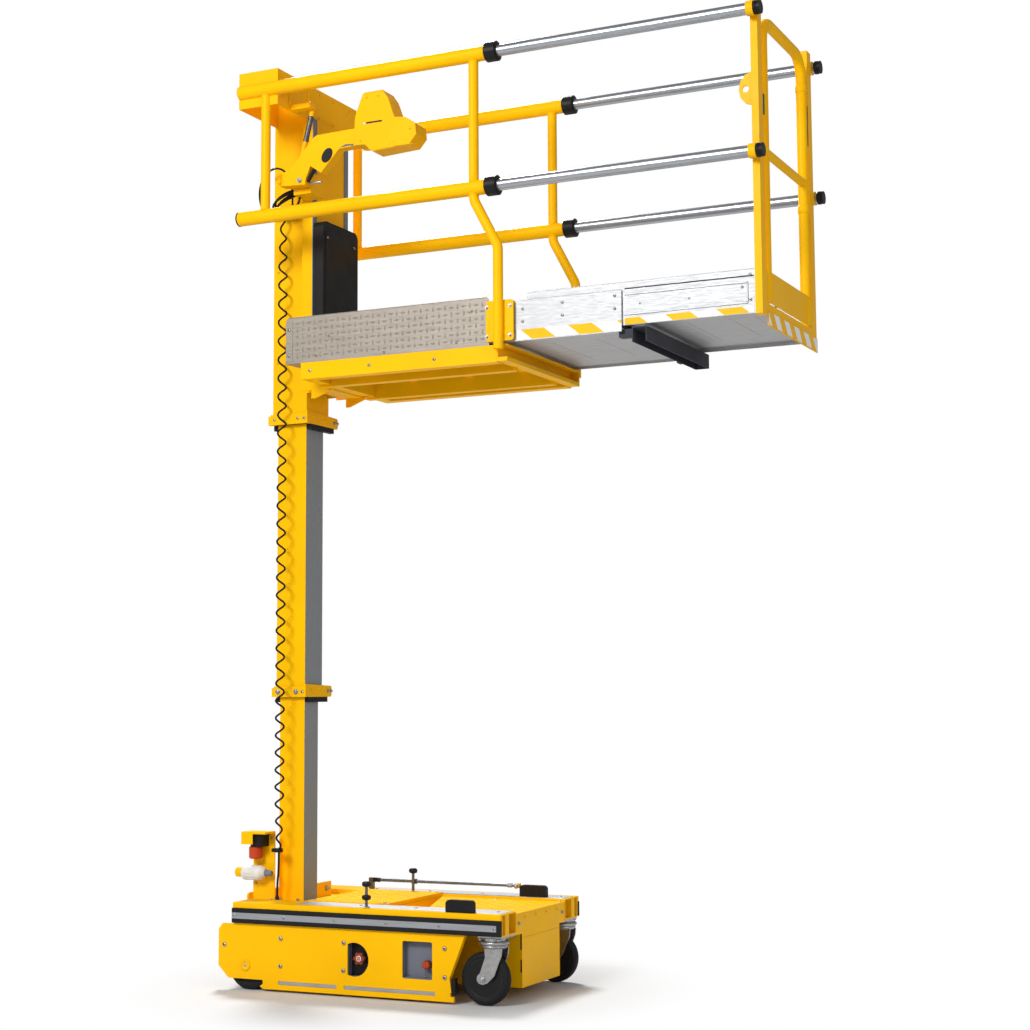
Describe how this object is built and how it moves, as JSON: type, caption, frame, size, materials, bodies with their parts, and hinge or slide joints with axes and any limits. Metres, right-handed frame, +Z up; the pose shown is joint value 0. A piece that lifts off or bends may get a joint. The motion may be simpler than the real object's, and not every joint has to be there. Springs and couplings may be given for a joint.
{
  "type": "self-propelled vertical mast lift",
  "caption": "Narrow wheeled base with a telescopic mast and a guarded platform whose deck slides out in two stages to an end gate.",
  "frame": {"origin": "on the ground at the middle of the outline, platform extended", "axes": "+X towards the casters and the end gate, +Y across to the left, +Z up"},
  "size_m": [2.467, 0.846, 3.8265],
  "materials": {
    "yellow": "satin",
    "grey_paint": "satin",
    "aluminium": "brushed",
    "zinc": "zinc plated",
    "black_rubber": "matt",
    "black_plastic": "matt",
    "tyre": "matt",
    "dark_steel": "satin",
    "amber": "clear",
    "white_plastic": "gloss"
  },
  "bodies": {
    "chassis": {"chassis_frame": "yellow", "machine_housing": "yellow", "side_bumpers": "black_rubber", "bumper_bars": "aluminium", "side_plates": "yellow", "service_panel": "dark_steel", "battery_box": "yellow", "battery_block": "black_plastic", "base_deck": "yellow", "deck_cover": "yellow", "drive_units": "dark_steel", "caster_plates": "zinc", "mast_lower": "yellow", "fitting_plate": "yellow", "beacon": "amber", "sounder": "black_plastic", "power_inlet": "white_plastic", "deck_pads": "black_plastic", "deck_linkage": "dark_steel", "deck_brackets": "yellow", "cord_clamp_low": "black_plastic", "cord_tail": "black_rubber", "curly_cord": "black_rubber"},
    "drive_wheel_near": {"drive_wheel_near": "tyre"},
    "drive_wheel_far": {"drive_wheel_far": "tyre"},
    "caster_near": {"caster_fork_near": "zinc"},
    "caster_far": {"caster_fork_far": "zinc"},
    "caster_wheel_near": {"caster_wheel_near": "tyre"},
    "caster_wheel_far": {"caster_wheel_far": "tyre"},
    "mast_stage": {"mast_middle": "yellow", "slide_ring_middle": "black_plastic"},
    "platform": {"mast_upper": "yellow", "slide_ring_upper": "black_plastic", "carriage": "yellow", "slide_strips": "grey_paint", "mast_cover": "black_plastic", "mast_head": "yellow", "guard_rails": "yellow", "rail_sleeves": "black_plastic", "fixed_deck": "aluminium", "underframe": "yellow", "deck_slides": "black_plastic", "arm_bracket": "yellow", "cord_clamp_top": "black_plastic", "cable_loop": "black_rubber"},
    "control_arm": {"control_arm": "yellow", "control_console": "yellow"},
    "middle_stage": {"middle_deck": "aluminium", "middle_slides": "black_plastic"},
    "end_stage": {"end_deck": "aluminium", "sliding_rails": "aluminium", "rail_caps": "black_plastic", "gate_frame": "yellow"},
    "gate": {"gate": "yellow"}
  },
  "joints": [
    {"name": "drive_spin_near", "type": "hinge", "parent": "chassis", "child": "drive_wheel_near", "pos_m": [-1.0315, -0.3225, 0.1], "axis": [0, 1, 0], "continuous": true},
    {"name": "drive_spin_far", "type": "hinge", "parent": "chassis", "child": "drive_wheel_far", "pos_m": [-1.0315, 0.3225, 0.1], "axis": [0, 1, 0], "continuous": true},
    {"name": "caster_swivel_near", "type": "hinge", "parent": "chassis", "child": "caster_near", "pos_m": [0.0665, -0.322, 0.23], "axis": [0, 0, 1], "continuous": true},
    {"name": "caster_spin_near", "type": "hinge", "parent": "caster_near", "child": "caster_wheel_near", "pos_m": [0.0315, -0.322, 0.1025], "axis": [0, 1, 0], "continuous": true},
    {"name": "caster_swivel_far", "type": "hinge", "parent": "chassis", "child": "caster_far", "pos_m": [0.0665, 0.322, 0.23], "axis": [0, 0, 1], "continuous": true},
    {"name": "caster_spin_far", "type": "hinge", "parent": "caster_far", "child": "caster_wheel_far", "pos_m": [0.0315, 0.322, 0.1025], "axis": [0, 1, 0], "continuous": true},
    {"name": "mast_lift", "type": "slide", "parent": "chassis", "child": "mast_stage", "axis": [0, 0, 1], "range_m": [-0.74, 0], "deforming": ["curly_cord"]},
    {"name": "platform_lift", "type": "slide", "parent": "mast_stage", "child": "platform", "axis": [0, 0, 1], "range_m": [-1.06, 0]},
    {"name": "control_arm_tilt", "type": "hinge", "parent": "platform", "child": "control_arm", "pos_m": [-0.8435, -0.28, 3.352], "axis": [0, -1, 0], "range_deg": [0, 40]},
    {"name": "middle_stage_slide", "type": "slide", "parent": "platform", "child": "middle_stage", "axis": [1, 0, 0], "range_m": [-0.45, 0]},
    {"name": "end_stage_slide", "type": "slide", "parent": "middle_stage", "child": "end_stage", "axis": [1, 0, 0], "range_m": [-0.45, 0]},
    {"name": "gate_swing", "type": "hinge", "parent": "end_stage", "child": "gate", "pos_m": [1.1845, 0.255, 3.2255], "axis": [0, 0, 1], "range_deg": [-90, 0]}
  ],
  "couplings": [
    {"joint": "platform_lift", "follows": "mast_lift", "ratio": 1.43}
  ]
}
